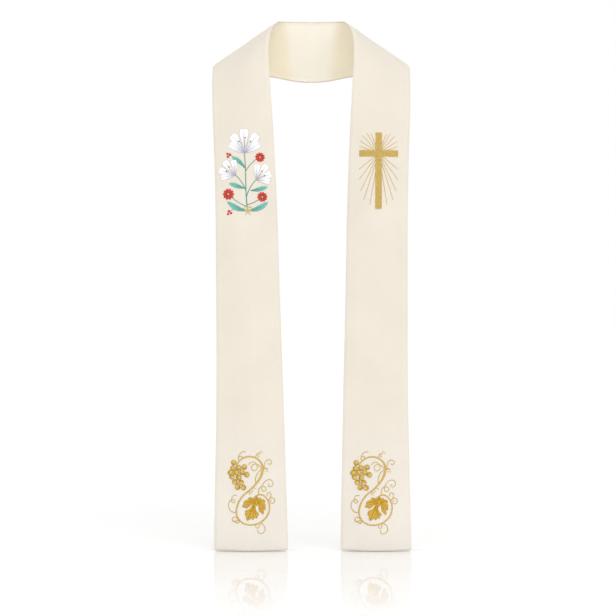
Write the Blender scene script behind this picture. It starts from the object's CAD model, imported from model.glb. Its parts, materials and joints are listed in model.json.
"""The cloth, the needlework and the studio of a clerical stole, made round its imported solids.

Metres, +Z up, the front faces -Y. The wearer's left half is side 1, at +X, and the right half side -1.
Each half is one band of cloth, from the centre back round the neck, over the shoulder and down to the
hem. A run is a distance along the band from the centre back, and a share across is 0 at the neck edge
and 1 at the outer edge. Motifs are drawn in millimetres from their own middle, x to the viewer's right
and z up, with headings in degrees anticlockwise from x and bends in degrees a millimetre.
"""

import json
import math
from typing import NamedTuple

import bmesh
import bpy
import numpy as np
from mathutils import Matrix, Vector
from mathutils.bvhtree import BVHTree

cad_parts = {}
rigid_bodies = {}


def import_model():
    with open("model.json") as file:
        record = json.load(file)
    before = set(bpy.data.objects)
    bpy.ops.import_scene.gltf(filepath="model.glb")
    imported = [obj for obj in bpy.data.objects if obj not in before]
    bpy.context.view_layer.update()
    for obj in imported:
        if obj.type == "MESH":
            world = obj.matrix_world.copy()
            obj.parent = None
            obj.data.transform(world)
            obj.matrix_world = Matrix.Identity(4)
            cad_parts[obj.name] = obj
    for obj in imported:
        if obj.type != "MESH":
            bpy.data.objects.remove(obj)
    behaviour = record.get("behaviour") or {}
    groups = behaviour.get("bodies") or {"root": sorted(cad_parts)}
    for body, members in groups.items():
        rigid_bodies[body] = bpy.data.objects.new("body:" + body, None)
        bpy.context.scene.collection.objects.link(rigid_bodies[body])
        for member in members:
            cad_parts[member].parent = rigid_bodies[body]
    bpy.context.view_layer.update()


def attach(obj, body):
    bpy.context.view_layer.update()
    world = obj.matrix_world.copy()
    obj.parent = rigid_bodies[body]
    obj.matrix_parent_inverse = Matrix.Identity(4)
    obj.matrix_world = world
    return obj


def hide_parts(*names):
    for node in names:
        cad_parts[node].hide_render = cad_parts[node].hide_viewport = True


bl_info = {
    "name": "Clerical Stole",
    "version": (1, 0, 0),
    "blender": (4, 5, 0),
    "location": "3D View > Sidebar > Stole",
    "description": "Makes a clerical stole's cloth, needlework and studio",
    "category": "Object",
}

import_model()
BODY = "root"
MM = 0.001
MM_FACTS = np.array([MM, MM, MM, 1.0])
FACE_NAMES = {1: "face_left_cloth", -1: "face_right_cloth"}

# The cloth's sizes, as the solids have them
FACE_THICKNESS = 0.0012
LINING_THICKNESS = 0.0010
GAP = 0.0003
LINING_SETBACK = 0.002
LINING_HEM_SETBACK = 0.004
ROLL_WIDTH = 0.010
ROLL_DEPTH = 0.0022
HEM_CORNER = 0.006
NECK_HALF = 0.083
SHOULDER_HALF = 0.2200
SHOULDER_DROP = 0.1020
NECK_HEIGHT = 0.0130
NAPE_BACK = 0.100
BAND_BACK_DROP = 0.1238
CHEST_FRONT = -0.100
HEM_DROP = 1.1805
NECK_EDGE_SWAY = 0.0066
OUTER_EDGE_SWAY = 0.0030
SWAY_START = 0.15

# Where the points of the fine cloth lie, as distances in from an edge
RIM_STEPS = (0.0, 0.00012, 0.0005, 0.0012, 0.0026, 0.0044, 0.0064, 0.0082, 0.0094, 0.0106, 0.0120)
SEAM_STEPS = (0.0, 0.00012, 0.0005, 0.0012, 0.0026, 0.0050)
LINING_GRID = 1.25

# What the fine cloth has and the solids leave out: the dip at the centre back seam, the raised turned
# edges, the hems' bow and the way their last millimetres turn under
SEAM_DIP = 0.0009
SEAM_DIP_WIDTH = 0.0045
TURNING_WIDTH = 0.0092
TURNING_SLOPE = 0.0016
HEM_BOW = 0.0008
HEM_BOW_REACH = 0.12
HEM_ROLL_WIDTH = 0.0022
HEM_ROLL_DEPTH = 0.0020
FOLD_EASE = 1.4

# Where the lining grows warmer and the face paler, as runs, how much paler its turned edges are, and the
# weaves. The wave texture's own spacing is at a scale of 1
WARM_FROM = 0.042
WARM_TO = 0.066
PALE_FROM = 1.05
PALE_TO = 1.34
PALE_TINT = (1.045, 1.065, 1.12)
FACE_YARNS = (1400.0, 90.0, 1.0)
LINING_YARNS = (2600.0, 60.0, 1.0)
TURNING_PALENESS = 0.22
TWILL_SLANT = 58
WAVE_SPACING = 0.314
WHITE = (1.0, 1.0, 1.0)


class Ruling(NamedTuple):
    """A line across the band: its ends, and how far its middle swells out."""

    name: str
    neck: tuple
    outer: tuple
    crown: float


# The solids' rulings, but that the neck edge lies up to 3.2 mm lower and 1.6 mm further out from
# corner_end to collarbone_top
RULINGS = (
    Ruling("centre_back", (0.0, NAPE_BACK, NECK_HEIGHT), (0.0, 0.1260, -BAND_BACK_DROP), 0.0),
    Ruling("nape", (0.0310, 0.0990, 0.0131), (0.0250, 0.1252, -0.1229), 0.0),
    Ruling("corner_start", (0.0570, 0.0935, 0.0128), (0.0445, 0.1222, -0.1208), 0.0),
    Ruling("corner", (0.0695, 0.0820, 0.0116), (0.0665, 0.1135, -0.1174), 0.0),
    Ruling("corner_end", (0.0758, 0.0640, 0.0088), (0.0945, 0.0985, -0.1137), 0.0005),
    Ruling("behind_shoulder", (0.0790, 0.0430, 0.0040), (0.1320, 0.0765, -0.1095), 0.0015),
    Ruling("back_of_ridge", (0.0814, 0.0215, -0.0014), (0.1715, 0.0475, -0.1050), 0.0015),
    Ruling("near_ridge", (0.0827, 0.0100, -0.0046), (0.2010, 0.0225, -0.1022), 0.0005),
    Ruling("ridge", (NECK_HALF + 0.0010, 0.0, -0.0082), (SHOULDER_HALF, 0.0, -SHOULDER_DROP), 0.0),
    Ruling("front_of_ridge", (0.0874, -0.0125, -0.0150), (0.2213, -0.0130, -0.1095), 0.0),
    Ruling("collarbone_top", (0.0922, -0.0285, -0.0295), (0.2214, -0.0275, -0.1230), 0.0005),
    Ruling("collarbone", (0.0952, -0.0470, -0.0520), (0.2210, -0.0440, -0.1440), 0.0020),
    Ruling("chest_top", (0.0955, -0.0650, -0.0830), (0.2200, -0.0590, -0.1715), 0.0040),
    Ruling("chest_upper", (0.0935, -0.0810, -0.1220), (0.2188, -0.0720, -0.2060), 0.0060),
    Ruling("chest", (0.0905, -0.0925, -0.1700), (0.2170, -0.0830, -0.2480), 0.0085),
    Ruling("panel_top", (0.0863, -0.0985, -0.2350), (0.2145, -0.0920, -0.3000), 0.0105),
    Ruling("panel_upper", (0.0818, CHEST_FRONT, -0.3250), (0.2122, -0.0975, -0.3680), 0.0115),
    Ruling("panel_chest", (0.0772, CHEST_FRONT, -0.4450), (0.2106, CHEST_FRONT, -0.4600), 0.0115),
    Ruling("panel_waist", (0.0732, CHEST_FRONT, -0.6076), (0.2100, CHEST_FRONT, -0.6076), 0.0110),
    Ruling("panel_middle", (0.0667, CHEST_FRONT, -0.8276), (0.2102, CHEST_FRONT, -0.8276), 0.0110),
    Ruling("panel_low", (0.0612, CHEST_FRONT, -1.0476), (0.2140, CHEST_FRONT, -1.0476), 0.0115),
    Ruling("hem", (0.0583, CHEST_FRONT, -HEM_DROP), (0.2168, CHEST_FRONT, -HEM_DROP), 0.0120),
)


class Fold(NamedTuple):
    """A long soft ridge in the cloth, or a trough where its height is below zero."""

    side: int
    start: float
    end: float
    share_at_start: float
    share_at_end: float
    half_width: float
    height: float


FOLDS = (
    Fold(-1, 0.03, 0.24, 0.42, 0.60, 0.020, -0.0012),
    Fold(-1, 0.16, 0.40, 0.30, 0.22, 0.016, 0.0010),
    Fold(-1, 0.46, 0.90, 0.66, 0.60, 0.020, 0.0010),
    Fold(-1, 0.64, 1.30, 0.32, 0.36, 0.017, -0.0013),
    Fold(-1, 0.74, 1.08, 0.15, 0.19, 0.011, 0.0007),
    Fold(-1, 0.88, 1.52, 0.80, 0.76, 0.013, -0.0010),
    Fold(-1, 1.06, 1.60, 0.56, 0.52, 0.019, 0.0009),
    Fold(1, 0.05, 0.21, 0.62, 0.48, 0.018, 0.0010),
    Fold(1, 0.14, 0.42, 0.38, 0.28, 0.019, -0.0011),
    Fold(1, 0.56, 1.16, 0.30, 0.35, 0.018, -0.0011),
    Fold(1, 0.60, 0.98, 0.76, 0.80, 0.012, -0.0008),
    Fold(1, 0.70, 1.34, 0.60, 0.56, 0.021, 0.0011),
    Fold(1, 0.98, 1.56, 0.17, 0.20, 0.012, -0.0009),
    Fold(1, 1.10, 1.62, 0.78, 0.82, 0.014, 0.0008),
)


class Drawing(NamedTuple):
    """A line drawn from its start: bends are spaced evenly along it, widths likewise."""

    name: str
    x: float
    z: float
    heading: float
    length: float
    bends: tuple
    widths: tuple


class Dot(NamedTuple):
    """A small round of satin."""

    x: float
    z: float
    radius: float


class Arc(NamedTuple):
    """A stretch of the vine's stem, turning evenly."""

    name: str
    length: float
    turn: float


class GrapeRow(NamedTuple):
    """Grapes side by side, each one this much higher than the last."""

    z: float
    first_x: float
    count: int
    spacing: float
    climb: float


class Ray(NamedTuple):
    """A line that points away from where the cross's bars meet, and its mirror image."""

    angle_from_up: float
    start: float
    end: float


class Lay(NamedTuple):
    """How stitches lie: the height they start from and how far they rise, in millimetres, and their shade.

    The shade goes from 0 to 1, and may be a row of shades from one end or side to the other.
    """

    base: float
    rise: float
    shade: object


class Shade(NamedTuple):
    """A soft shade on the floor under a hem: its middle, its reach each way and how dark it is."""

    x: float
    y: float
    half_length: float
    half_depth: float
    darkness: float


class Sun(NamedTuple):
    """A light from far off: which way it shines, and its share of the soft light in front."""

    name: str
    way: tuple
    share: float


# Grapevine at each hem
VINE_PLACES = ((-1, -0.1311, -1.0518), (1, 0.1379, -1.0525))
STEM_START = (-32.8, 59.0)
STEM_HEADING = 70.0
STEM_ARCS = (
    Arc("over the grapes", 28.5, -54),
    Arc("over the top", 36, -68),
    Arc("down to the branching", 19, -46),
    Arc("below the branching", 22.5, -25),
    Arc("down across", 38.5, -21),
    Arc("to the lower ring", 46.5, 46),
    Arc("left of the leaf", 43, 86),
    Arc("under the leaf", 45, 60),
    Arc("right of the leaf", 37, 60),
    Arc("up round its right", 17, 30),
    Arc("over its top", 18, 76),
    Arc("leaf stalk", 8, 6),
)
STEM_WIDTHS = (
    2.6, 3.2, 3.4, 3.5, 4.6, 6.0, 4.6, 3.8, 3.6, 3.6, 3.8, 3.8, 3.4, 3.2, 3.2, 3.4, 3.6, 3.4, 3.0, 3.2, 3.4,
)
FINE = (2.2, 1.8, 1.8, 1.7, 1.6)
TENDRILS = (
    Drawing("top left", -27.7, 69.4, 112, 31, (-3.5, -3.8, -3.6, -3.5, -7, -9), FINE),
    Drawing("top left curl", -29.0, 76.0, 62, 15, (-5, -12, -18, -20), FINE),
    Drawing("top sprig", 8.2, 78.0, 52, 11, (0, -4), FINE),
    Drawing("top right", 27.4, 50.8, 84, 47, (1, -1, -4, -8, -9, -14, -18), FINE),
    Drawing("ring", 20.6, 52.5, 110, 80, (3, 4.2, 5, 7.5, 8.5, 10, 6, 5.5, 5, 7, 5), FINE),
    Drawing("inner arc", 20.5, 50.5, 222, 34, (1.0, 2.0, 3.0), FINE),
    Drawing("right sprig", 25.5, 52.4, 4, 8, (0, -3), (2.6, 2.2)),
    Drawing("grape stalk", -32.8, 59.0, -92, 48, (0.3, 0.1, 0.6), (2.6, 2.2)),
    Drawing("grape twig", -31.8, 51.0, -10, 23, (-1.8, -1.2), (2.2, 1.8)),
    Drawing("middle sprig", 3.0, 10.8, -8, 8, (-4, -5), (1.6, 1.3)),
    Drawing("middle sprig low", -2.0, 7.0, -115, 11, (0, 3), (1.6, 1.3)),
    Drawing(
        "looped", 16.6, -4.9, 110, 111.6,
        (-2.5, -3.5, -5.2, -7, -8.6, -12.5, -12, -3.6, -2.2, -2.6, -4.4, -7.3, -7.2, -6.8, -15, -24), FINE,
    ),
    Drawing("right upper curl", 37.4, -17.0, 54, 31, (1, 2, 11, 14, 15), FINE),
    Drawing("right lower curl", 37.6, -15.5, 50, 39, (-4, -8, -9.5, -8.5, -11, -15, -22), FINE),
    Drawing(
        "left", -36.0, -43.5, 194, 81.6,
        (-6.5, -5.3, -3.4, -3.3, -3.6, -4.2, -8.5, -15.5, -17, -5.5, -4, -8, -10), FINE,
    ),
    Drawing("lower left curl", -30.5, -57.5, 125, 24, (5, 9, 10, 11, 4), FINE),
    Drawing("lower left ring", -28.5, -61.0, 150, 21, (14, 17, 17, 17), FINE),
    Drawing("lower left tail", -27.0, -63.5, 240, 16, (-8, -12, -6, -1), FINE),
    Drawing("bottom", 18.5, -66.0, -24, 47, (-1.5, -3.5, -5.5, -5.5, -8, -15), FINE),
    Drawing("bottom curl", 15.4, -68.6, -45, 24, (-9, -11, -11, -21, -8, -4), FINE),
)
SPRIG_DOTS = (
    Dot(12.2, 84.6, 1.6), Dot(17.4, 86.0, 1.7), Dot(19.4, 90.0, 1.2), Dot(23.8, 87.2, 1.3),
    Dot(15.0, 79.6, 1.7),
    Dot(30.5, 52.6, 1.8), Dot(34.0, 51.0, 1.9), Dot(30.5, 46.1, 1.2), Dot(35.7, 45.7, 1.2),
    Dot(1.6, 3.7, 1.6), Dot(-0.4, -0.4, 1.4), Dot(-4.1, -4.2, 1.3), Dot(-4.0, 2.6, 1.3),
)
GRAPE_RADIUS = 5.8
GRAPE_ROWS = (
    GrapeRow(65.4, -39.0, 1, 0.0, 0.0),
    GrapeRow(52.8, -40.9, 3, 12.6, 1.6),
    GrapeRow(43.2, -46.4, 3, 12.8, 0.4),
    GrapeRow(39.4, -10.6, 1, 0.0, 0.0),
    GrapeRow(34.3, -43.0, 2, 15.0, -1.6),
    GrapeRow(22.9, -36.8, 2, 13.8, -0.8),
    GrapeRow(11.6, -30.6, 2, 12.8, -0.8),
)
LEAF_POINTS = (
    Drawing("by the stalk", 12.0, -8.0, -105, 20, (0, 0), (3, 11, 15, 13, 7)),
    Drawing("left one", 8.0, -18.0, 162, 16, (0, 0), (8, 10, 10, 7, 1)),
    Drawing("left two", 7.0, -18.0, 191, 25, (0, 0), (8, 10, 12, 9, 1)),
    Drawing("left three", 6.0, -19.0, 205, 29, (0, 0), (7, 8, 10, 9, 1)),
    Drawing("left four", 1.0, -23.0, 219, 18, (0, 0), (3, 5, 6, 5, 1)),
    Drawing("middle one", 3.0, -38.0, 196, 18, (0, 0), (5, 7, 8, 6, 1)),
    Drawing("middle two", 4.0, -37.0, 214, 22, (0, 0), (6, 9, 10, 8, 1)),
    Drawing("middle three", 8.0, -20.0, 247, 45, (0, 0), (8, 7, 13, 16, 11, 1)),
    Drawing("middle four", 6.0, -28.0, 264, 32, (0, 0), (7, 9, 12, 9, 1)),
    Drawing("middle five", 6.0, -34.0, -77, 23, (0, 0), (4, 8, 10, 7, 1)),
    Drawing("middle six", 7.0, -40.0, -49, 13, (0, 0), (4, 6, 6, 1)),
    Drawing("right one", 10.0, -17.0, 14, 11, (0, 0), (7, 9, 8, 1)),
    Drawing("right two", 12.0, -17.0, -12, 18, (0, 0), (8, 11, 11, 8, 1)),
    Drawing("right three", 12.0, -18.0, -35, 22, (0, 0), (8, 11, 12, 9, 1)),
    Drawing("right four", 13.0, -19.0, -48, 25, (0, 0), (7, 10, 12, 9, 1)),
    Drawing("right five", 15.0, -22.0, -68, 28, (0, 0), (4, 7, 9, 8, 1)),
    Drawing("right six", 15.5, -27.0, -80, 16, (0, 0), (2, 3, 4, 3, 1)),
)
LEAF_VEINS = ("left two", "middle three", "right four")
LEAF_LEAN = 48
TOOTH_SPACING = 4.4
TOOTH_DEPTH = 0.22
LEAF_VEIN_REACH = 2.8
GRAPE_RING_REACH = 2.6
GRAPE_RING_THICKNESS = 1.2
TENDRIL_LAY = Lay(0.15, 0.30, 0.50)
STEM_LAY = Lay(0.25, 0.50, 0.50)
SPRIG_DOT_LAY = Lay(0.20, 0.50, (0.45, 0.65))
GRAPE_LAY = Lay(0.75, 1.10, (0.20, 0.40, 0.66, 0.34))
GRAPE_RING_LAY = Lay(0.55, 0.20, 0.30)
LEAF_LAY = Lay(0.30, 0.40, (0.20, 0.30, 0.38, 0.33))
LEAF_STEP = 0.05
LEAF_LEVELS = 3
LEAF_VEIN_LAY = Lay(1.00, 0.15, 0.22)

# Gold cross and its rays on the wearer's left panel
CROSS_PLACE = (1, 0.1479, -0.3077)
CROSS_BAR = 13.2
CROSS_TILT = -0.35
CROSS_SPAN = 84.0
CROSS_ABOVE = 45.5
CROSS_BELOW = 121.5
RAYS = (
    Ray(21.4, 19.5, 46.6),
    Ray(30.4, 14.5, 51.0),
    Ray(42.6, 11.5, 53.9),
    Ray(56.1, 14.0, 49.7),
    Ray(69.5, 19.5, 45.0),
    Ray(129.5, 11.5, 55.4),
    Ray(143.6, 12.5, 71.1),
    Ray(154.7, 17.0, 91.2),
    Ray(162.6, 24.5, 107.5),
    Ray(170.5, 42.0, 114.2),
)
RAY_WIDTHS = (1.4, 1.2, 0.9)
UNDERLAY_PITCH = 1.3
UNDERLAY_REACH = 14.0
UNDERLAY_THICKNESS = 1.6
CROSS_EDGE_REACH = 3.2
CROSS_EDGE_THICKNESS = 1.5
UNDERLAY_LAY = Lay(0.00, 0.35, 0.35)
CROSS_LAY = Lay(0.85, 0.22, 0.60)
CROSS_EDGE_LAY = Lay(0.55, 0.25, 0.45)
RAY_LAY = Lay(0.12, 0.20, 0.52)

# Lily spray on the wearer's right panel
SPRAY_PLACE = (-1, -0.1457, -0.3465)
SPRAY_STEMS = (
    Drawing("main stem", 7.0, -90.0, 101, 130, (-0.3, 0.0, 0.15), (3.0, 2.6, 2.4, 2.2)),
    Drawing("left lily's", 2.7, -45.0, 108, 46, (0.7, 0.7), (2.2, 2.0)),
    Drawing("right lily's", 3.3, -60.0, 80, 49, (-0.76, -0.76), (2.2, 2.0)),
    Drawing("left low blossom's", 5.0, -78.0, 163, 49, (-0.7, -0.7), (2.0, 1.8)),
    Drawing("right low blossom's", 5.0, -74.0, 10, 37, (1.0, 1.0), (2.0, 1.8)),
    Drawing("upper blossom's", 1.2, -2.0, 64, 44, (-0.8, -0.8), (2.0, 1.8)),
    Drawing("upper berries'", -20.0, 29.0, 158, 15, (-1.0, -0.5), (1.5, 1.3)),
    Drawing("low berries'", -20.0, -83.0, 205, 14, (-1.0, -0.5), (1.5, 1.3)),
)
SPRAY_LEAVES = (
    Drawing("lowest left", 6.5, -87.0, 178, 50, (-1.1, -0.4), (2, 11, 12, 8, 1)),
    Drawing("lowest right", 6.5, -87.0, 2, 48, (1.1, 0.4), (2, 11, 12, 8, 1)),
    Drawing("middle left", 2.2, -38.0, 172, 38, (-0.9, 0.5), (2, 9, 10, 7, 1)),
    Drawing("middle right", 12.0, -43.0, 2, 38, (0.9, -0.2), (2, 9, 10, 7, 1)),
    Drawing("upper left", 0.2, 6.0, 124, 38, (0.9, 0.5), (2, 9, 10, 7, 1)),
)
LILY_PETALS = (
    Drawing("top far left", -1.0, 40.0, 160, 35, (-1.6, 1.3), (4, 13, 17, 12, 2)),
    Drawing("top far right", -1.0, 40.0, 20, 35, (1.6, -1.3), (4, 13, 17, 12, 2)),
    Drawing("top left", -1.0, 40.0, 128, 46, (-0.5, 0.7), (4, 15, 20, 14, 2)),
    Drawing("top right", -1.0, 40.0, 52, 46, (0.5, -0.7), (4, 15, 20, 14, 2)),
    Drawing("top middle", -1.0, 40.0, 90, 50, (0.2, -0.2), (4, 15, 21, 15, 2)),
    Drawing("left one", -21.0, -9.0, 196, 29, (-1.2, 1.3), (3, 11, 14, 10, 2)),
    Drawing("left two", -21.0, -9.0, 92, 31, (0.9, -1.1), (3, 11, 14, 10, 2)),
    Drawing("left three", -21.0, -9.0, 165, 36, (-0.5, 0.8), (3, 12, 16, 11, 2)),
    Drawing("left four", -21.0, -9.0, 128, 37, (0.3, -0.5), (3, 12, 16, 11, 2)),
    Drawing("right one", 25.0, -19.0, -14, 27, (1.2, -1.3), (3, 11, 14, 10, 2)),
    Drawing("right two", 25.0, -19.0, 92, 31, (-0.9, 1.1), (3, 11, 14, 10, 2)),
    Drawing("right three", 25.0, -19.0, 20, 32, (0.5, -0.8), (3, 12, 16, 11, 2)),
    Drawing("right four", 25.0, -19.0, 56, 37, (-0.3, 0.5), (3, 12, 16, 11, 2)),
)
STAMENS = (
    Drawing("top left", -1.0, 46.0, 110, 23, (1.0, 1.2), (1.1, 0.9)),
    Drawing("top middle", -1.0, 46.0, 88, 27, (-0.3, 0.3), (1.1, 0.9)),
    Drawing("top right", -1.0, 46.0, 68, 23, (-1.0, -1.2), (1.1, 0.9)),
    Drawing("left low", -23.0, -6.0, 152, 18, (1.0, 1.0), (1.1, 0.9)),
    Drawing("left high", -23.0, -6.0, 138, 19, (-1.0, -1.0), (1.1, 0.9)),
    Drawing("right low", 27.0, -17.0, 32, 17, (-1.0, -1.0), (1.1, 0.9)),
    Drawing("right high", 27.0, -17.0, 48, 19, (1.0, 1.0), (1.1, 0.9)),
)
STAMEN_TIP = 1.6
BLOSSOMS = (
    Dot(-36.0, -51.0, 14.0), Dot(38.0, -57.0, 12.5), Dot(33.0, 30.0, 12.0),
)
BLOSSOM_PETALS = 5
BLOSSOM_PETAL_SHAPE = (0.20, 0.78, 0.86, 0.50)
BLOSSOM_PETAL_REACH = 0.72
BLOSSOM_EYE = 0.17
BERRIES = (
    Dot(-33.0, 36.0, 3.0), Dot(-37.5, 31.5, 2.8), Dot(-38.5, 38.0, 2.6),
    Dot(-35.0, -88.5, 3.0), Dot(-30.5, -92.5, 2.8), Dot(-37.0, -94.5, 2.6),
)
FOOT_LOOPS = (
    Drawing("left loop", 6.5, -88.0, 200, 36, (-8, -12, -14, -8), (2.0, 1.8, 1.8)),
    Drawing("right loop", 6.5, -88.0, -20, 36, (8, 12, 14, 8), (2.0, 1.8, 1.8)),
    Drawing("left tail", 6.5, -88.0, -118, 10, (-2, 2), (2.0, 1.4)),
    Drawing("right tail", 6.5, -88.0, -58, 10, (2, -2), (2.0, 1.4)),
)
SPRAY_LEAF_LEAN = 32
PETAL_LEAN = 26
BLOSSOM_LEAN = 58
SPRAY_VEIN_REACH = 3.2
PETAL_VEIN_REACH = 3.4
PETAL_VEIN_THICKNESS = 0.9
SPRAY_STEM_LAY = Lay(0.00, 0.30, 0.40)
SPRAY_LEAF_LAY = Lay(0.15, 0.30, (0.35, 0.60, 0.80))
SPRAY_VEIN_LAY = Lay(0.55, 0.15, 0.10)
PETAL_LAY = Lay(0.25, 0.40, (0.10, 0.55, 0.95, 1.0))
PETAL_VEIN_LAY = Lay(0.90, 0.15, 0.12)
PETAL_STEP = 0.14
PETAL_LEVELS = 5
STAMEN_LAY = Lay(1.30, 0.20, 0.75)
STAMEN_TIP_LAY = Lay(1.35, 0.60, (0.05, 0.12))
FOOT_LOOP_LAY = Lay(0.45, 0.35, 0.65)
BLOSSOM_LAY = Lay(0.20, 0.45, (0.05, 0.45, 0.60))
BLOSSOM_STEP = 0.12
BLOSSOM_EYE_LAY = Lay(1.00, 0.80, (0.55, 0.80))
BERRY_LAY = Lay(0.20, 1.00, (0.35, 0.65, 0.45))

# Any stitch. The end rings are the stitch form's, and say where each lies and how far it is moved out
SATIN_SLANT = 74
SHORTEST_HALF = 0.2
JOIN_MARGIN = 0.6
END_RINGS = ((0.146, -0.066), (0.854, 0.066))
RING_WIDENING = 1.3
THREAD_FLATNESS = 0.8
THREAD_SWELL = 0.3
SHADE_JITTER = 0.09

# Slip stitches that hold the lining to the face
SLIP_START = 0.012
SLIP_END = 0.020
SLIP_SPACING = 0.0065
SLIP_SLANT = 0.0012
SLIP_INTO_LINING = 0.0013
SLIP_INTO_FACE = 0.0006
SLIP_FACTS = np.array([0.00045, 0.0, 0.0002, 0.7])

# The floor's polish, which fades over these distances from under the stole's middle, and its shades
POLISH = 0.98
POLISH_NEAR = 0.42
POLISH_FAR = 1.10
SHADE_EASE = 0.3
HEM_SHADES = (
    Shade(-0.1328, -0.106, 0.085, 0.015, 0.42),
    Shade(0.1424, -0.106, 0.081, 0.015, 0.42),
    Shade(-0.1260, -0.085, 0.112, 0.038, 0.11),
    Shade(0.1490, -0.085, 0.108, 0.038, 0.11),
)
FLOOR_RADIUS = 40.0

# The lights. The sky is dimmer where it lies this far to the sides, as shares of straight sideways
SUNS = (Sun("key_light", (-0.45, 1.0, -0.62), 1.0), Sun("fill_light", (0.35, 1.0, -0.20), 0.60))
SUN_SOFTNESS = 50
DIM_FROM = 0.30
DIM_TO = 0.95
SENSOR_WIDTH = 36.0


# The user's sizes and colours


class StoleCloth(bpy.types.PropertyGroup):
    """The two cloths."""

    grid: bpy.props.FloatProperty(
        name="Grid", description="Distance between the cloth's points", default=0.0034, unit="LENGTH",
    )
    turning: bpy.props.FloatProperty(
        name="Turning", description="How far the turned edges stand up", default=0.00028, unit="LENGTH",
    )
    twill: bpy.props.FloatProperty(
        name="Twill", description="Distance between the weave's slanting ribs", default=0.0007,
        unit="LENGTH", precision=5,
    )
    ivory: bpy.props.FloatVectorProperty(
        name="Ivory", description="Colour of the face cloth", subtype="COLOR", size=3,
        default=(0.674, 0.620, 0.534),
    )
    lining: bpy.props.FloatVectorProperty(
        name="Lining", description="Colour of the lining at the nape", subtype="COLOR", size=3,
        default=(0.815, 0.775, 0.682),
    )
    warm_lining: bpy.props.FloatVectorProperty(
        name="Warm lining", description="Colour of the lining beside the neck", subtype="COLOR", size=3,
        default=(0.790, 0.715, 0.560),
    )


class StoleThread(bpy.types.PropertyGroup):
    """The threads and how closely they lie."""

    thickness: bpy.props.FloatProperty(
        name="Thickness", description="Width of one thread", default=0.00056, unit="LENGTH", precision=5,
    )
    pitch: bpy.props.FloatProperty(
        name="Pitch", description="Distance between stitches side by side", default=0.00046,
        unit="LENGTH", precision=5,
    )
    reach: bpy.props.FloatProperty(
        name="Reach", description="Length of a stitch in the cross", default=0.0040, unit="LENGTH",
    )
    gold: bpy.props.FloatVectorProperty(
        name="Gold", description="Colour of the gold thread", subtype="COLOR", size=3,
        default=(0.700, 0.520, 0.165),
    )
    deep_gold: bpy.props.FloatVectorProperty(
        name="Deep gold", description="Gold thread of the leaf's middle", subtype="COLOR", size=3,
        default=(0.530, 0.305, 0.010),
    )
    pale_gold: bpy.props.FloatVectorProperty(
        name="Pale gold", description="Gold thread at its brightest", subtype="COLOR", size=3,
        default=(0.790, 0.650, 0.300),
    )
    brown: bpy.props.FloatVectorProperty(
        name="Brown", description="Gold thread at its darkest", subtype="COLOR", size=3,
        default=(0.120, 0.055, 0.020),
    )
    white: bpy.props.FloatVectorProperty(
        name="White", description="Colour of the petals", subtype="COLOR", size=3,
        default=(0.880, 0.880, 0.900),
    )
    lilac: bpy.props.FloatVectorProperty(
        name="Lilac", description="Colour of the petals in shade", subtype="COLOR", size=3,
        default=(0.330, 0.330, 0.560),
    )
    teal: bpy.props.FloatVectorProperty(
        name="Teal", description="Colour of the leaves", subtype="COLOR", size=3,
        default=(0.120, 0.360, 0.300),
    )
    red: bpy.props.FloatVectorProperty(
        name="Red", description="Colour of the berries", subtype="COLOR", size=3,
        default=(0.560, 0.035, 0.030),
    )


class StoleStudio(bpy.types.PropertyGroup):
    """The floor, the light and the camera."""

    floor_drop: bpy.props.FloatProperty(
        name="Floor", description="How far the floor lies below the shoulders", default=1.1815,
        unit="LENGTH",
    )
    floor: bpy.props.FloatVectorProperty(
        name="Floor colour", description="Colour of the floor", subtype="COLOR", size=3,
        default=(0.925, 0.925, 0.925),
    )
    sky: bpy.props.FloatProperty(
        name="Sky", description="Strength of the light from all round", default=1.0,
    )
    sides: bpy.props.FloatProperty(
        name="Sides", description="How bright the light from both sides is, as a share of the rest",
        default=0.82,
    )
    key: bpy.props.FloatProperty(
        name="Key", description="Strength of the soft light in front", default=0.90,
    )
    camera: bpy.props.FloatVectorProperty(
        name="Camera", description="Where the camera stands", subtype="TRANSLATION", size=3,
        default=(-0.0073, -4.1, -0.6472),
    )
    lens: bpy.props.FloatProperty(
        name="Lens", description="Focal length", default=106.27, unit="CAMERA",
    )


# The band of cloth


def unit(vectors):
    """The vectors, each one long."""
    return vectors / np.linalg.norm(vectors, axis=-1, keepdims=True)


class Curve:
    """A smooth curve of points or numbers through the values, one at each knot."""

    def __init__(self, knots, values, first_slope):
        values = np.array(values, dtype=float).reshape(len(knots), -1)
        steps = np.diff(knots)[:, None]
        rises = np.diff(values, axis=0) / steps
        inner = (rises[:-1] * steps[1:] + rises[1:] * steps[:-1]) / (steps[:-1] + steps[1:])
        self.knots = knots
        self.values = values
        self.slopes = np.vstack([np.atleast_2d(first_slope), inner, rises[-1:]])

    def at(self, run):
        """The curve at each run."""
        i = np.clip(np.searchsorted(self.knots, run, side="right") - 1, 0, len(self.knots) - 2)
        step = (self.knots[i + 1] - self.knots[i])[..., None]
        t = (run - self.knots[i])[..., None] / step
        ease = t * t * (3 - 2 * t)
        start, end = self.values[i], self.values[i + 1]
        leaving, arriving = self.slopes[i] * step, self.slopes[i + 1] * step
        return start + (end - start) * ease + leaving * (t * (1 - t) ** 2) - arriving * (t * t * (1 - t))


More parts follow.
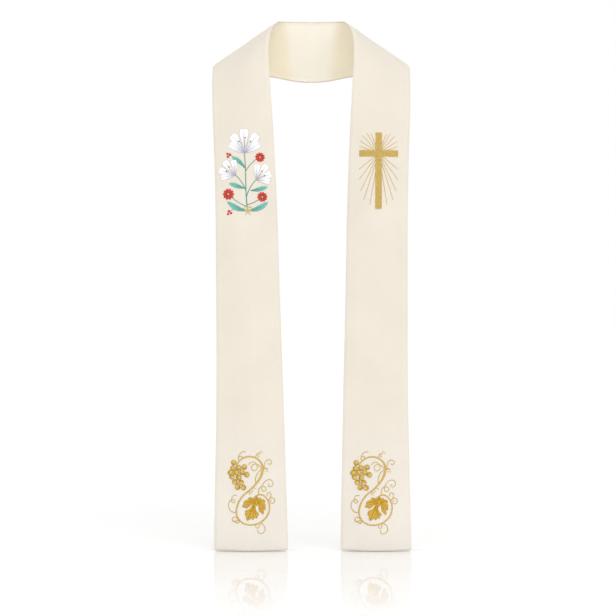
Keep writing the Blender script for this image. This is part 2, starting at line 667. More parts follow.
class Band:
    """One half of the stole, worked out towards +X and moved to its own side last."""

    def __init__(self, side):
        self.side = side
        necks = np.array([self.swayed(ruling.neck, NECK_EDGE_SWAY) for ruling in RULINGS])
        outers = np.array([self.swayed(ruling.outer, OUTER_EDGE_SWAY) for ruling in RULINGS])
        neck_steps = np.linalg.norm(np.diff(necks, axis=0), axis=1)
        outer_steps = np.linalg.norm(np.diff(outers, axis=0), axis=1)
        runs = np.concatenate([[0.0], np.cumsum((neck_steps + outer_steps) / 2)])
        self.length = runs[-1]
        self.neck = Curve(runs, necks, (1.0, 0.0, 0.0))
        self.outer = Curve(runs, outers, (1.0, 0.0, 0.0))
        self.crown = Curve(runs, [ruling.crown for ruling in RULINGS], 0.0)

    def swayed(self, point, sway):
        """An edge point, moved sideways by the way this half hangs."""
        share = max(0.0, (-point[2] - SWAY_START) / (HEM_DROP - SWAY_START))
        return point[0] + self.side * sway * share, point[1], point[2]

    def width(self, run):
        """The band's width at each run, along its ruling."""
        return np.linalg.norm(self.outer.at(run) - self.neck.at(run), axis=-1)

    def hem_inset(self, run):
        """How far the edges draw in near the hem, to round its corners."""
        across = np.clip(HEM_CORNER - (self.length - run), 0.0, HEM_CORNER)
        return HEM_CORNER - np.sqrt(HEM_CORNER**2 - across**2)

    def edge_directions(self, run):
        """Which way the neck edge and the outer edge run."""
        step = 0.001
        start, end = np.maximum(0.0, run - step), np.minimum(self.length, run + step)
        neck_way = self.neck.at(end) - self.neck.at(start)
        outer_way = self.outer.at(end) - self.outer.at(start)
        at_seam = (start == 0.0)[..., None]
        across_seam = np.array([1.0, 0.0, 0.0])
        return np.where(at_seam, across_seam, neck_way), np.where(at_seam, across_seam, outer_way)

    def relief(self, run, share, width):
        """How far the folds lift the cloth off its plain form."""
        lift = np.zeros_like(share)
        for fold in FOLDS:
            if fold.side == self.side:
                along = np.clip((run - fold.start) / (fold.end - fold.start), 0.0, 1.0)
                middle = fold.share_at_start + (fold.share_at_end - fold.share_at_start) * along
                off = (share - middle) * width / fold.half_width
                lift = lift + fold.height * np.sin(np.pi * along) ** FOLD_EASE * np.exp(-off * off)
        return lift

    def point(self, run, share, lift):
        """Points at this lift off the surface where the face and the lining meet."""
        neck, outer = self.neck.at(run), self.outer.at(run)
        width = np.linalg.norm(outer - neck, axis=-1)
        direction = (outer - neck) / width[..., None]
        inset = self.hem_inset(run)
        on_ruling = neck + direction * (inset + share * (width - 2 * inset))[..., None]
        neck_way, outer_way = self.edge_directions(run)
        out = unit(np.cross(neck_way + (outer_way - neck_way) * share[..., None], direction))
        crown = self.crown.at(run)[..., 0]
        rolled = np.maximum(0.0, 1 - np.minimum(share, 1 - share) * width / ROLL_WIDTH)
        turned_under = np.maximum(0.0, 1 - (self.length - run) / HEM_ROLL_WIDTH)
        height = crown * 4 * share * (1 - share) - ROLL_DEPTH * rolled**2 - HEM_ROLL_DEPTH * turned_under**2
        towards_middle = np.where(share < 0.5, 1.0, -1.0)
        rise = crown * 4 * (1 - 2 * share) / width
        rise = rise + towards_middle * 2 * ROLL_DEPTH * rolled / ROLL_WIDTH
        normal = unit(out - direction * rise[..., None])
        lift = lift + self.relief(run, share, width)
        place = on_ruling + out * height[..., None] + normal * lift[..., None]
        bow = HEM_BOW * np.maximum(0.0, 1 - (self.length - run) / HEM_BOW_REACH) ** 2
        place[..., 2] -= bow * 4 * share * (1 - share)
        place[..., 0] *= self.side
        return place


BANDS = {1: Band(1), -1: Band(-1)}


def rounded(distance, radius):
    """How thick the cloth's rim is, as a share of its full thickness, this far in from the edge."""
    inside = np.clip(distance / radius, 0.0, 1.0)
    return np.sqrt(1 - (1 - inside) ** 2)


def settled(distance, start, slope):
    """1 up to start, and easing down to 0 over the slope that follows."""
    t = np.clip((distance - start) / slope, 0.0, 1.0)
    return 1 - t * t * (3 - 2 * t)


class SheetGrid(NamedTuple):
    """Points of a closed sheet of cloth in rows, and what its material reads at each."""

    outer: np.ndarray
    inner: np.ndarray
    across: np.ndarray
    run: np.ndarray
    rim: np.ndarray


def sheet_grid(band, low, high, setback, hem_setback, seam, step, turning):
    """One half's sheet from the centre back to the hem, between these lifts, set back from the edges."""
    length = band.length - hem_setback
    start = SEAM_STEPS if seam else (0.0,)
    rows = np.arange(start[-1] + step, length - RIM_STEPS[-1] - step / 2, step)
    hem = [length - distance for distance in reversed(RIM_STEPS)]
    runs = np.concatenate([start, rows, hem])
    widths = band.width(runs) - 2 * setback
    middle_count = int(round((widths[0] - 2 * RIM_STEPS[-1]) / step))
    margin = np.array(RIM_STEPS)[None, :] / widths[:, None]
    inside = np.linspace(margin[:, -1], 1 - margin[:, -1], middle_count + 1, axis=1)[:, 1:-1]
    shares = np.hstack([margin, inside, 1 - margin[:, ::-1]])
    run = np.repeat(runs[:, None], shares.shape[1], axis=1)
    side_distance = np.minimum(shares, 1 - shares) * widths[:, None]
    hem_distance = length - run
    radius = (high - low) / 2
    thickness = radius * rounded(side_distance, radius) * rounded(hem_distance, radius)
    middle = np.full_like(shares, (high + low) / 2)
    if seam:
        thickness = thickness * rounded(run, radius)
        middle = middle - SEAM_DIP * np.exp(-((run / SEAM_DIP_WIDTH) ** 2))
    fold = settled(side_distance, TURNING_WIDTH, TURNING_SLOPE)
    fold = np.maximum(fold, settled(hem_distance, TURNING_WIDTH * 2, TURNING_SLOPE))
    ridge = turning * fold * (thickness / radius)
    margin_share = setback / (widths + 2 * setback)
    band_share = margin_share[:, None] + shares * (1 - 2 * margin_share[:, None])
    outer = band.point(run, band_share, middle + thickness + ridge)
    inner = band.point(run, band_share, middle - thickness)
    if seam:
        outer[0, :, 0] = band.side * GAP / 2
        inner[0, :, 0] = band.side * GAP / 2
    across = band_share * (widths[:, None] + 2 * setback)
    return SheetGrid(outer, inner, across, run, np.minimum(side_distance, hem_distance))


def make_mesh(name, points, faces, material):
    """A smooth mesh object with this material, which rides on the stole."""
    mesh = bpy.data.meshes.new(name)
    mesh.from_pydata(points, [], faces)
    mesh.materials.append(material)
    mesh.shade_smooth()
    mesh.update()
    piece = bpy.data.objects.new(name, mesh)
    bpy.context.scene.collection.objects.link(piece)
    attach(piece, BODY)
    return piece


def set_uv(mesh, name, values):
    """Gives the mesh a UV map from a pair of numbers at each of its points."""
    corners = np.empty(len(mesh.loops), dtype=np.int32)
    mesh.loops.foreach_get("vertex_index", corners)
    layer = mesh.uv_layers.new(name=name)
    layer.data.foreach_set("uv", np.asarray(values, dtype=np.float32)[corners].ravel())


def set_attribute(mesh, name, values):
    """Gives the mesh a number at each of its points."""
    layer = mesh.attributes.new(name, "FLOAT", "POINT")
    layer.data.foreach_set("value", np.asarray(values, dtype=np.float32))


def make_sheet(name, grid, material):
    """The closed sheet: its outer and inner points share the rim. Rows run from -X to +X."""
    rows, columns = grid.run.shape
    outer = np.arange(rows * columns).reshape(rows, columns)
    inner = outer.copy()
    inside = np.arange((rows - 2) * (columns - 2)).reshape(rows - 2, columns - 2)
    inner[1:-1, 1:-1] = rows * columns + inside

    def quads(index):
        return np.stack([index[:-1, :-1], index[1:, :-1], index[1:, 1:], index[:-1, 1:]], axis=-1)

    faces = np.concatenate([quads(outer).reshape(-1, 4), quads(inner)[..., ::-1].reshape(-1, 4)])
    points = np.concatenate([grid.outer.reshape(-1, 3), grid.inner[1:-1, 1:-1].reshape(-1, 3)])
    piece = make_mesh(name, points.tolist(), faces.tolist(), material)

    def at_points(values):
        return np.concatenate([values.ravel(), values[1:-1, 1:-1].ravel()])

    set_uv(piece.data, "weave", np.stack([at_points(grid.across), at_points(grid.run)], axis=-1))
    set_attribute(piece.data, "rim", at_points(grid.rim))
    return piece


def declare_sheet(setback, hem_setback):
    """States the cut of the visible cloth: a band as wide as at the hem, narrower round the neck."""
    band = BANDS[1]
    runs = np.linspace(0.0, band.length - hem_setback, 400)
    widths = band.width(runs) - 2 * setback


# Finishes


class Nodes:
    """The nodes of a material or of the world, as they are added."""

    def __init__(self, tree):
        self.tree = tree

    def node(self, kind, values=None, links=None, **settings):
        """A node with its input values, the outputs that feed it and its own settings."""
        made = self.tree.nodes.new(kind)
        for key, value in settings.items():
            setattr(made, key, value)
        for key, value in (values or {}).items():
            made.inputs[key].default_value = value
        for key, output in (links or {}).items():
            self.tree.links.new(output, made.inputs[key])
        return made

    def mapped(self, vector, **values):
        """The vector, moved, turned or scaled."""
        return self.node("ShaderNodeMapping", values, {"Vector": vector}).outputs["Vector"]

    def noise(self, vector, scale, detail):
        """Cloudy noise from 0 to 1."""
        values = {"Scale": scale, "Detail": detail}
        return self.node("ShaderNodeTexNoise", values, {"Vector": vector}).outputs["Fac"]

    def fade(self, output, start, end, at_start, at_end):
        """A number that goes from one value to another while the output goes from start to end."""
        values = {"From Min": start, "From Max": end, "To Min": at_start, "To Max": at_end}
        return self.node("ShaderNodeMapRange", values, {"Value": output}).outputs["Result"]

    def math(self, operation, first, second):
        """The result of a sum on an output and a number or another output."""
        values, links = {}, {0: first}
        if isinstance(second, (int, float)):
            values[1] = second
        else:
            links[1] = second
        return self.node("ShaderNodeMath", values, links, operation=operation).outputs[0]

    def blend(self, mode, share, first, second):
        """Two colours blended in this mode, as far as the share says, or fully where it is None."""
        made = self.tree.nodes.new("ShaderNodeMix")
        made.data_type = "RGBA"
        made.blend_type = mode
        for socket, value in ((made.inputs[0], share), (made.inputs[6], first), (made.inputs[7], second)):
            if isinstance(value, bpy.types.NodeSocket):
                self.tree.links.new(value, socket)
            elif value is None:
                socket.default_value = 1.0
            else:
                socket.default_value = (*value, 1.0)
        return made.outputs[2]

    def ramp(self, output, stops):
        """A colour for each position of the output, from position and colour pairs."""
        made = self.node("ShaderNodeValToRGB", links={"Fac": output})
        points = made.color_ramp.elements
        while len(points) < len(stops):
            points.new(0.5)
        for point, (position, colour) in zip(points, stops):
            point.position = position
            point.color = (*colour, 1.0)
        return made.outputs["Color"]

    def bump(self, height, distance, strength=1.0):
        """Raises the surface by an output."""
        values = {"Strength": strength, "Distance": distance}
        return self.node("ShaderNodeBump", values, {"Height": height}).outputs["Normal"]


class Finish(Nodes):
    """A material under construction."""

    def __init__(self, name, colour, roughness, specular, metallic=0.0, more=None):
        self.material = bpy.data.materials.new(name)
        self.material.use_nodes = True
        self.material.diffuse_color = (*colour, 1.0)
        super().__init__(self.material.node_tree)
        self.shader = self.tree.nodes["Principled BSDF"]
        self.shader.inputs["Base Color"].default_value = (*colour, 1.0)
        self.shader.inputs["Roughness"].default_value = roughness
        self.shader.inputs["Specular IOR Level"].default_value = specular
        self.shader.inputs["Metallic"].default_value = metallic
        for socket, value in (more or {}).items():
            self.shader.inputs[socket].default_value = value

    def feed(self, socket, output):
        """Links an output to one of the shader's inputs."""
        self.tree.links.new(output, self.shader.inputs[socket])


def shaded(colour, share):
    """The colour, darker or lighter by this share."""
    return tuple(min(1.0, channel * share) for channel in colour)


def yarn_noise(finish, weave, yarns):
    """Noise drawn out into yarns, so many a metre across the cloth and along it."""
    return finish.noise(finish.mapped(weave, Scale=yarns), 1.0, 1.0)


def face_finish(cloth):
    """Ivory twill with a soft sheen, a little paler along its turned edges and towards the hem."""
    sheen = {"Sheen Weight": 0.22, "Sheen Roughness": 0.45}
    finish = Finish("ivory_twill", cloth.ivory, 0.62, 0.28, more=sheen)
    weave = finish.node("ShaderNodeUVMap", uv_map="weave").outputs["UV"]
    cloudy = finish.noise(weave, 9.0, 2.0)
    yarns = yarn_noise(finish, weave, FACE_YARNS)
    ground = finish.ramp(cloudy, ((0.30, shaded(cloth.ivory, 0.970)), (0.70, shaded(cloth.ivory, 1.020))))
    slubs = finish.ramp(yarns, ((0.25, (0.955, 0.955, 0.95)), (0.75, WHITE)))
    rim = finish.node("ShaderNodeAttribute", attribute_name="rim").outputs["Fac"]
    on_turning = finish.fade(rim, TURNING_WIDTH, TURNING_WIDTH + TURNING_SLOPE, 1.0, 0.0)
    run = finish.node("ShaderNodeSeparateXYZ", links={0: weave}).outputs["Y"]
    near_hem = finish.fade(run, PALE_FROM, PALE_TO, 0.0, 1.0)
    ground = finish.blend("MULTIPLY", near_hem, ground, PALE_TINT)
    woven = finish.blend("MULTIPLY", None, ground, slubs)
    share = finish.math("MULTIPLY", on_turning, TURNING_PALENESS)
    finish.feed("Base Color", finish.blend("MIX", share, woven, shaded(cloth.ivory, 1.055)))
    finish.feed("Normal", twill_bump(finish, weave, cloth.twill, yarns))
    return finish.material


def twill_bump(finish, weave, rib, yarns):
    """Slanting ribs, broken up by uneven yarns."""
    slanted = finish.mapped(weave, Rotation=(0.0, 0.0, math.radians(TWILL_SLANT)))
    values = {"Scale": WAVE_SPACING / rib, "Distortion": 0.6, "Detail": 1.0}
    ribs = finish.node(
        "ShaderNodeTexWave", values, {"Vector": slanted}, wave_type="BANDS", bands_direction="X",
    ).outputs["Fac"]
    height = finish.math("ADD", ribs, finish.math("MULTIPLY", yarns, 0.5))
    return finish.bump(height, 0.00004, 0.55)


def lining_finish(cloth):
    """Smooth warm satin that shines a little along its threads."""
    shine = {"Sheen Weight": 0.12, "Anisotropic": 0.35}
    finish = Finish("warm_satin", cloth.lining, 0.46, 0.40, more=shine)
    weave = finish.node("ShaderNodeUVMap", uv_map="weave").outputs["UV"]
    cloudy = finish.noise(weave, 12.0, 2.0)
    yarns = yarn_noise(finish, weave, LINING_YARNS)
    run = finish.node("ShaderNodeSeparateXYZ", links={0: weave}).outputs["Y"]
    warmth = finish.fade(run, WARM_FROM, WARM_TO, 0.0, 1.0)
    satin_colour = finish.blend("MIX", warmth, tuple(cloth.lining), tuple(cloth.warm_lining))
    shade = finish.ramp(cloudy, ((0.30, (0.955, 0.955, 0.955)), (0.70, WHITE)))
    finish.feed("Base Color", finish.blend("MULTIPLY", None, satin_colour, shade))
    finish.feed("Normal", finish.bump(yarns, 0.00003, 0.5))
    return finish.material


def thread_finish(name, stops, roughness, specular, metallic):
    """Twisted thread whose colour goes by each stitch's own shade."""
    middle = stops[len(stops) // 2][1]
    finish = Finish(name, middle, roughness, specular, metallic)
    shade = finish.node("ShaderNodeAttribute", attribute_name="shade").outputs["Fac"]
    finish.feed("Base Color", finish.ramp(shade, stops))
    along = finish.node("ShaderNodeUVMap", uv_map="twist").outputs["UV"]
    plies = finish.node(
        "ShaderNodeTexWave", {"Scale": 1.2, "Distortion": 0.3}, {"Vector": along},
        wave_type="BANDS", bands_direction="DIAGONAL",
    ).outputs["Fac"]
    finish.feed("Normal", finish.bump(plies, 0.00006, 0.6))
    return finish.material


def gold_finish(thread):
    """Gold thread, from brown through gold to pale gold."""
    stops = (
        (0.00, thread.brown),
        (0.25, thread.deep_gold),
        (0.62, thread.gold),
        (1.00, thread.pale_gold),
    )
    return thread_finish("gold_thread_twist", stops, 0.42, 0.25, 0.40)


def petal_finish(thread):
    """White thread, lilac in its shade."""
    stops = ((0.00, thread.lilac), (0.45, shaded(thread.white, 0.78)), (1.00, thread.white))
    return thread_finish("white_thread_twist", stops, 0.45, 0.45, 0.0)


def plain_thread_finish(name, colour):
    """Thread of one colour, a little darker and lighter from stitch to stitch."""
    stops = ((0.0, shaded(colour, 0.62)), (0.5, colour), (1.0, shaded(colour, 1.9)))
    return thread_finish(name, stops, 0.45, 0.45, 0.0)


# Needlework


class Line:
    """A drawn line: its points in millimetres, and the distance along it to each."""

    def __init__(self, points):
        steps = np.linalg.norm(np.diff(points, axis=0), axis=1)
        self.points = points
        self.marks = np.concatenate([[0.0], np.cumsum(steps)])
        self.length = self.marks[-1]

    def at(self, along):
        """The points at these distances."""
        return np.stack([np.interp(along, self.marks, self.points[:, k]) for k in (0, 1)], axis=-1)

    def heading(self, along):
        """Which way the line goes at these distances."""
        near = 0.2
        ahead = self.at(np.minimum(along + near, self.length))
        behind = self.at(np.maximum(along - near, 0.0))
        return unit(ahead - behind)


def wander(start, heading, lengths, bends):
    """The line through stretches of these lengths, each with the bend it begins and ends with."""
    step = 0.25
    turns, spans = [], []
    for length, (first, last) in zip(lengths, bends):
        count = max(2, int(math.ceil(length / step)))
        middles = (np.arange(count) + 0.5) / count
        spans.append(np.full(count, length / count))
        turns.append((first + (last - first) * middles) * length / count)
    spans, turns = np.concatenate(spans), np.radians(np.concatenate(turns))
    headings = math.radians(heading) + np.cumsum(turns) - turns / 2
    ways = np.stack([np.cos(headings), np.sin(headings)], axis=-1) * spans[:, None]
    return Line(np.vstack([start, start + np.cumsum(ways, axis=0)]))


def drawn(drawing):
    """The line of one row of a table."""
    bends = list(zip(drawing.bends, drawing.bends[1:]))
    lengths = [drawing.length / len(bends)] * len(bends)
    return wander(np.array([drawing.x, drawing.z], dtype=float), drawing.heading, lengths, bends)


def turned(vectors, degrees):
    """The vectors, turned anticlockwise."""
    c, s = math.cos(math.radians(degrees)), math.sin(math.radians(degrees))
    return np.stack([c * vectors[:, 0] - s * vectors[:, 1], s * vectors[:, 0] + c * vectors[:, 1]], axis=-1)


class Stitches(NamedTuple):
    """Stitches on a flat drawing: their ends, and for each its width, base height, rise and shade."""

    start: np.ndarray
    end: np.ndarray
    facts: np.ndarray


def stitches(start, end, width, lay):
    """Stitches of this width and lay, whose numbers may be single ones or one for each stitch."""
    facts = np.empty((len(start), 4))
    for column, value in enumerate((width, *lay)):
        facts[:, column] = value
    return Stitches(start, end, facts)


def raised(lay, height):
    """The same lay, higher up."""
    return lay._replace(base=lay.base + height)


def together(groups):
    """All the stitches as one group."""
    return Stitches(*(np.concatenate(parts) for parts in zip(*groups)))


def even(length, pitch):
    """Distances along a length, about a pitch apart."""
    count = max(2, int(round(length / pitch)))
    return (np.arange(count) + 0.5) * length / count


def satin(line, widths, lay, yarn):
    """Stitches side by side across a line."""
    along = even(line.length, yarn.pitch)
    across = turned(line.heading(along), SATIN_SLANT)
    half = np.interp(along / line.length, np.linspace(0, 1, len(widths)), widths)[:, None] / 2
    middle = line.at(along)
    return stitches(middle - across * half, middle + across * half, yarn.thick, lay)


def running(line, reach, lay, thick):
    """Stitches end to end along a line."""
    count = max(1, int(round(line.length / reach)))
    marks = np.linspace(0.0, line.length, count + 1)
    return stitches(line.at(marks[:-1]), line.at(marks[1:]), thick, lay)


def fishbone(line, widths, lean, lay, yarn, teeth=1, tooth=0.0):
    """Stitches from a middle vein out to both margins, which have this many teeth."""
    along = even(line.length, yarn.pitch)
    share = along / line.length
    way, middle = line.heading(along), line.at(along)
    reach = np.interp(share, np.linspace(0, 1, len(widths)), widths) / 2
    reach = reach * (1 - tooth * ((share * teeth) % 1.0))
    shade = np.interp(share, np.linspace(0, 1, len(lay.shade)), lay.shade)
    groups = []
    for hand in (-1, 1):
        out = turned(way, hand * lean)
        ends = middle + out * (reach / math.sin(math.radians(lean)))[:, None]
        groups.append(stitches(middle, ends, yarn.thick, lay._replace(shade=shade)))
    return together(groups)


def disc(dot, angle, lay, yarn):
    """A padded round of stitches side by side."""
    off = even(2 * dot.radius, yarn.pitch) - dot.radius
    half = np.sqrt(np.maximum(dot.radius**2 - off**2, SHORTEST_HALF**2))
    way = turned(np.array([[1.0, 0.0]]), angle)
    side = turned(way, 90)
    middle = np.array([dot.x, dot.z]) + side * off[:, None]
    shade = np.interp(off / dot.radius, np.linspace(-1, 1, len(lay.shade)), lay.shade)
    padded = Lay(lay.base, lay.rise * half / dot.radius, shade)
    return stitches(middle - way * half[:, None], middle + way * half[:, None], yarn.thick, padded)


def ring(dot, reach, lay, thick):
    """Stitches end to end round a dot."""
    count = int(round(2 * math.pi * dot.radius / reach))
    angles = np.linspace(0.0, 2 * math.pi, count + 1)
    points = np.stack([dot.x + dot.radius * np.cos(angles), dot.z + dot.radius * np.sin(angles)], axis=-1)
    return stitches(points[:-1], points[1:], thick, lay)


def filled_box(box, upright, pitch, reach, lay, thick):
    """Rows of short stitches over a box, each row's joins a third of a stitch on from the last."""
    left, right, bottom, top = box
    low, high, first, last = (left, right, bottom, top) if upright else (bottom, top, left, right)
    starts, ends = [], []
    for row, level in enumerate(low + even(high - low, pitch)):
        joins = np.arange(first - reach * (row % 3) / 3 + reach, last, reach)
        inside = [join for join in joins if first + JOIN_MARGIN < join < last - JOIN_MARGIN]
        marks = [first, *inside, last]
        for a, b in zip(marks, marks[1:]):
            starts.append((level, a) if upright else (a, level))
            ends.append((level, b) if upright else (b, level))
    return stitches(np.array(starts), np.array(ends), thick, lay)


class StitchForm(NamedTuple):
    """One stitch as points 0 to 1 along it and half a unit out from it, with its faces and UVs."""

    points: np.ndarray
    faces: np.ndarray
    twist: np.ndarray


def model_stitch():
    """Models one stitch by hand: a sphere of few faces whose end rings are widened and moved out."""
    bpy.ops.object.select_all(action="DESELECT")
    bpy.ops.mesh.primitive_uv_sphere_add(
        segments=5, ring_count=4, radius=0.5, location=(0.5, 0.0, 0.0), rotation=(0.0, math.pi / 2, 0.0),
    )
    form = bpy.context.object
    bpy.ops.object.transform_apply(location=True, rotation=True, scale=True)
    bpy.ops.object.mode_set(mode="EDIT")
    for place, shift in END_RINGS:
        mesh = bmesh.from_edit_mesh(form.data)
        for vertex in mesh.verts:
            vertex.select_set(abs(vertex.co.x - place) < 0.01)
        mesh.select_flush_mode()
        bmesh.update_edit_mesh(form.data)
        bpy.ops.transform.resize(
            value=(1.0, RING_WIDENING, RING_WIDENING), center_override=(place, 0.0, 0.0),
        )
        bpy.ops.transform.translate(value=(shift, 0.0, 0.0))
    bpy.ops.mesh.select_all(action="SELECT")
    bpy.ops.mesh.quads_convert_to_tris()
    bpy.ops.mesh.normals_make_consistent(inside=False)
    bpy.ops.object.mode_set(mode="OBJECT")
    points = np.array([vertex.co[:] for vertex in form.data.vertices])
    faces = np.array([face.vertices[:] for face in form.data.polygons])
    turns = np.arctan2(points[:, 2], points[:, 1]) / (2 * math.pi)
    bpy.data.objects.remove(form, do_unlink=True)
    return StitchForm(points, faces, np.stack([turns, points[:, 0]], axis=-1))


def make_threads(name, start, end, normal, facts, form, material, slot, seed):
    """Copies the stitch form between each pair of ends, standing on the cloth, as one mesh."""
    width, base, rise, shade = (facts[:, k, None] for k in range(4))
    span = end - start
    length = np.linalg.norm(span, axis=1, keepdims=True)
    along = span / length
    aside = unit(np.cross(normal, along))
    t, a, b = form.points[:, 0], form.points[:, 1], form.points[:, 2]
    arch = 1 - (2 * t - 1) ** 4
    swell = width * (b * THREAD_FLATNESS + THREAD_SWELL * arch)
    height = base * np.minimum(1.0, 4 * arch) + rise * arch + swell
    points = (
        start[:, None, :]
        + span[:, None, :] * t[None, :, None]
        + aside[:, None, :] * (width * a)[..., None]
        + normal[:, None, :] * height[..., None]
    )
    count = len(form.points)
    faces = form.faces[None, :, :] + (np.arange(len(start)) * count)[:, None, None]
    piece = make_mesh(name, points.reshape(-1, 3).tolist(), faces.reshape(-1, 3).tolist(), material)
    jitter = np.random.RandomState(seed).uniform(-SHADE_JITTER, SHADE_JITTER, (len(start), 1))
    set_attribute(piece.data, "shade", np.repeat(shade + jitter, count, axis=1).ravel())
    turns = np.broadcast_to(form.twist[:, 0], (len(start), count))
    twist = np.stack([turns, form.twist[:, 1] * length / width], axis=-1)
    set_uv(piece.data, "twist", twist.reshape(-1, 2))
    return piece


class Ground:
    """The face of the cloth that needlework is laid on."""

    def __init__(self, piece):
        mesh = bmesh.new()
        mesh.from_mesh(piece.data)
        self.tree = BVHTree.FromBMesh(mesh)
        mesh.free()

    def under(self, places):
        """The points of the cloth seen from the front at these x and z, and its directions there."""
        found, ways = [], []
        for x, z in places:
            point, way, _, _ = self.tree.ray_cast(Vector((x, -1.0, z)), Vector((0.0, 1.0, 0.0)))
            if point is None:
                raise RuntimeError(f"no cloth under the stitch at {x:.4f}, {z:.4f}")
            found.append(point[:])
            ways.append(way[:])
        return np.array(found), np.array(ways)


def embroider(name, work, place, form, material, slot, seed):
    """Lays a motif's stitches on the panel's face, with its middle at this x and z."""
    side, x, z = place
    ground = Ground(bpy.data.objects[FACE_NAMES[side]])
    middle = np.array([x, z])
    start, start_way = ground.under(middle + work.start * MM)
    end, end_way = ground.under(middle + work.end * MM)
    return make_threads(
        name, start, end, unit(start_way + end_way), work.facts * MM_FACTS, form, material, slot, seed,
    )


class Yarn(NamedTuple):
    """The threads' thickness, pitch and reach in millimetres."""

    thick: float
    pitch: float
    reach: float


def in_mm(thread):
    """The user's threads in millimetres."""
    return Yarn(thread.thickness / MM, thread.pitch / MM, thread.reach / MM)


def vine_stem():
    """The stem's line: over the grapes, down across and round the leaf."""
    lengths = [arc.length for arc in STEM_ARCS]
    bends = [(arc.turn / arc.length, arc.turn / arc.length) for arc in STEM_ARCS]
    return wander(np.array(STEM_START), STEM_HEADING, lengths, bends)


def grape_work(row, yarn):
    """Padded grapes side by side, each ringed with a darker line."""
    groups = []
    for index in range(row.count):
        grape = Dot(row.first_x + index * row.spacing, row.z + index * row.climb, GRAPE_RADIUS)
        angle = 35 + 37 * index + 5 * row.z
        groups.append(ring(grape, GRAPE_RING_REACH, GRAPE_RING_LAY, yarn.thick * GRAPE_RING_THICKNESS))
        groups.append(disc(grape, angle, GRAPE_LAY, yarn))
    return groups


def vine_work(thread):
    """The grapevine's stitches, undermost first."""
    yarn = in_mm(thread)
    groups = [satin(drawn(row), row.widths, TENDRIL_LAY, yarn) for row in TENDRILS]
    groups.append(satin(vine_stem(), STEM_WIDTHS, STEM_LAY, yarn))
    for index, dot in enumerate(SPRIG_DOTS):
        groups.append(disc(dot, 25 + 50 * index, SPRIG_DOT_LAY, yarn))
    for row in GRAPE_ROWS:
        groups += grape_work(row, yarn)
    for index, row in enumerate(LEAF_POINTS):
        middle = drawn(row)
        lay = raised(LEAF_LAY, LEAF_STEP * (index % LEAF_LEVELS))
        teeth = round(row.length / TOOTH_SPACING)
        groups.append(fishbone(middle, row.widths, LEAF_LEAN, lay, yarn, teeth, TOOTH_DEPTH))
        if row.name in LEAF_VEINS:
            groups.append(running(middle, LEAF_VEIN_REACH, LEAF_VEIN_LAY, yarn.thick))
    return together(groups)


def cross_outline(half, arm):
    """The corners of the cross, in order round it."""
    return (
        (-half, CROSS_ABOVE), (half, CROSS_ABOVE), (half, half), (arm, half), (arm, -half), (half, -half),
        (half, -CROSS_BELOW), (-half, -CROSS_BELOW), (-half, -half), (-arm, -half), (-arm, half),
        (-half, half),
    )


def cross_work(thread):
    """The cross's stitches: an underlay, the grainy fill and an edge line, with the rays round it."""
    yarn = in_mm(thread)
    half = CROSS_BAR / 2
    arm = CROSS_SPAN / 2
    boxes = (
        (-half, half, -CROSS_BELOW, CROSS_ABOVE),
        (-arm, -half, -half, half),
        (half, arm, -half, half),
    )
    under_thick = yarn.thick * UNDERLAY_THICKNESS
    edge_thick = yarn.thick * CROSS_EDGE_THICKNESS
    groups = []
    for box in boxes:
        groups.append(filled_box(box, False, UNDERLAY_PITCH, UNDERLAY_REACH, UNDERLAY_LAY, under_thick))
        groups.append(filled_box(box, True, yarn.pitch, yarn.reach, CROSS_LAY, yarn.thick))
    corners = cross_outline(half, arm)
    for first, last in zip(corners, corners[1:] + corners[:1]):
        edge = Line(np.array([first, last], dtype=float))
        groups.append(running(edge, CROSS_EDGE_REACH, CROSS_EDGE_LAY, edge_thick))
    for ray in RAYS:
        for hand in (-1, 1):
            angle = math.radians(ray.angle_from_up)
            way = np.array([hand * math.sin(angle), math.cos(angle)])
            line = Line(np.array([way * ray.start, way * ray.end]))
            groups.append(satin(line, RAY_WIDTHS, RAY_LAY, yarn))
    return together(groups)


def blossom_work(dot, yarn):
    """A round of petals with raised, darker middles."""
    groups = []
    for index in range(BLOSSOM_PETALS):
        heading = math.radians(90 + index * 360 / BLOSSOM_PETALS + 3 * dot.x)
        way = np.array([math.cos(heading), math.sin(heading)])
        middle = np.array([dot.x, dot.z])
        petal = Line(np.array([middle + way * 0.6, middle + way * dot.radius * BLOSSOM_PETAL_REACH]))
        widths = [dot.radius * share for share in BLOSSOM_PETAL_SHAPE]
        lay = raised(BLOSSOM_LAY, BLOSSOM_STEP * index)
        groups.append(fishbone(petal, widths, BLOSSOM_LEAN, lay, yarn))
    return groups


